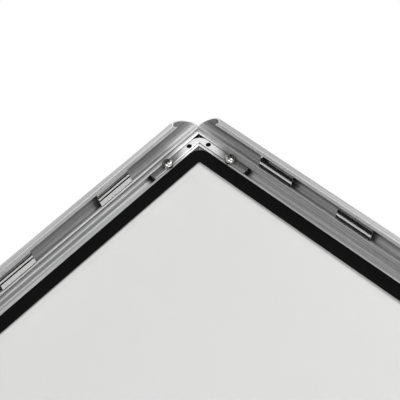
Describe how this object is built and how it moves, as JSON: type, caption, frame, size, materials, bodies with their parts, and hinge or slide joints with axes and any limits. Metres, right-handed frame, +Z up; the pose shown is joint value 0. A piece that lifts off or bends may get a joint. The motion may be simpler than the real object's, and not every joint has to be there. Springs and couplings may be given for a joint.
{
  "type": "poster frame",
  "caption": "Aluminium snap frame for an A2 poster, wall hung, its mitred front rails swung open over a clear cover with a black border.",
  "frame": {"origin": "centre of the back face of the top base rail, which lies against the wall", "axes": "+Z up along the long side, +Y into the wall out of the back, -Y out of the front, +X to the right seen from the front"},
  "size_m": [0.4642, 0.0281, 0.6383],
  "materials": {
    "rail_aluminium": "satin silver anodised",
    "spring_steel": "bright rolled",
    "bracket_steel": "bright plated",
    "screw_steel": "polished",
    "panel_plastic": "matt",
    "poster_paper": "blank",
    "cover_plastic": "clear",
    "border_film": "printed black"
  },
  "bodies": {
    "frame": {"base_rail_top": "rail_aluminium", "base_rail_bottom": "rail_aluminium", "base_rail_left": "rail_aluminium", "base_rail_right": "rail_aluminium", "corner_bracket_top_left": "bracket_steel", "corner_bracket_top_right": "bracket_steel", "corner_bracket_bottom_right": "bracket_steel", "corner_bracket_bottom_left": "bracket_steel", "bracket_screw_top_left_1": "screw_steel", "bracket_screw_top_left_2": "screw_steel", "bracket_screw_top_right_1": "screw_steel", "bracket_screw_top_right_2": "screw_steel", "bracket_screw_bottom_right_1": "screw_steel", "bracket_screw_bottom_right_2": "screw_steel", "bracket_screw_bottom_left_1": "screw_steel", "bracket_screw_bottom_left_2": "screw_steel", "back_panel": "panel_plastic", "poster_sheet": "poster_paper", "cover_sheet": "cover_plastic", "cover_border": "border_film"},
    "rail_top": {"front_rail_top": "rail_aluminium", "leaf_spring_top_1": "spring_steel", "leaf_spring_top_2": "spring_steel", "leaf_spring_top_3": "spring_steel", "leaf_spring_top_4": "spring_steel", "leaf_spring_top_5": "spring_steel"},
    "rail_bottom": {"front_rail_bottom": "rail_aluminium", "leaf_spring_bottom_1": "spring_steel", "leaf_spring_bottom_2": "spring_steel", "leaf_spring_bottom_3": "spring_steel", "leaf_spring_bottom_4": "spring_steel", "leaf_spring_bottom_5": "spring_steel"},
    "rail_left": {"front_rail_left": "rail_aluminium", "leaf_spring_left_1": "spring_steel", "leaf_spring_left_2": "spring_steel", "leaf_spring_left_3": "spring_steel", "leaf_spring_left_4": "spring_steel", "leaf_spring_left_5": "spring_steel", "leaf_spring_left_6": "spring_steel"},
    "rail_right": {"front_rail_right": "rail_aluminium", "leaf_spring_right_1": "spring_steel", "leaf_spring_right_2": "spring_steel", "leaf_spring_right_3": "spring_steel", "leaf_spring_right_4": "spring_steel", "leaf_spring_right_5": "spring_steel", "leaf_spring_right_6": "spring_steel"}
  },
  "joints": [
    {"name": "top_rail_hinge", "type": "hinge", "parent": "frame", "child": "rail_top", "pos_m": [0, -0.0064, 0.01155], "axis": [1, 0, 0], "range_deg": [0, 90]},
    {"name": "bottom_rail_hinge", "type": "hinge", "parent": "frame", "child": "rail_bottom", "pos_m": [0, -0.0064, -0.60785], "axis": [-1, 0, 0], "range_deg": [0, 90]},
    {"name": "left_rail_hinge", "type": "hinge", "parent": "frame", "child": "rail_left", "pos_m": [-0.2227, -0.0064, -0.29815], "axis": [0, 0, 1], "range_deg": [0, 90]},
    {"name": "right_rail_hinge", "type": "hinge", "parent": "frame", "child": "rail_right", "pos_m": [0.2227, -0.0064, -0.29815], "axis": [0, 0, -1], "range_deg": [0, 90]}
  ]
}
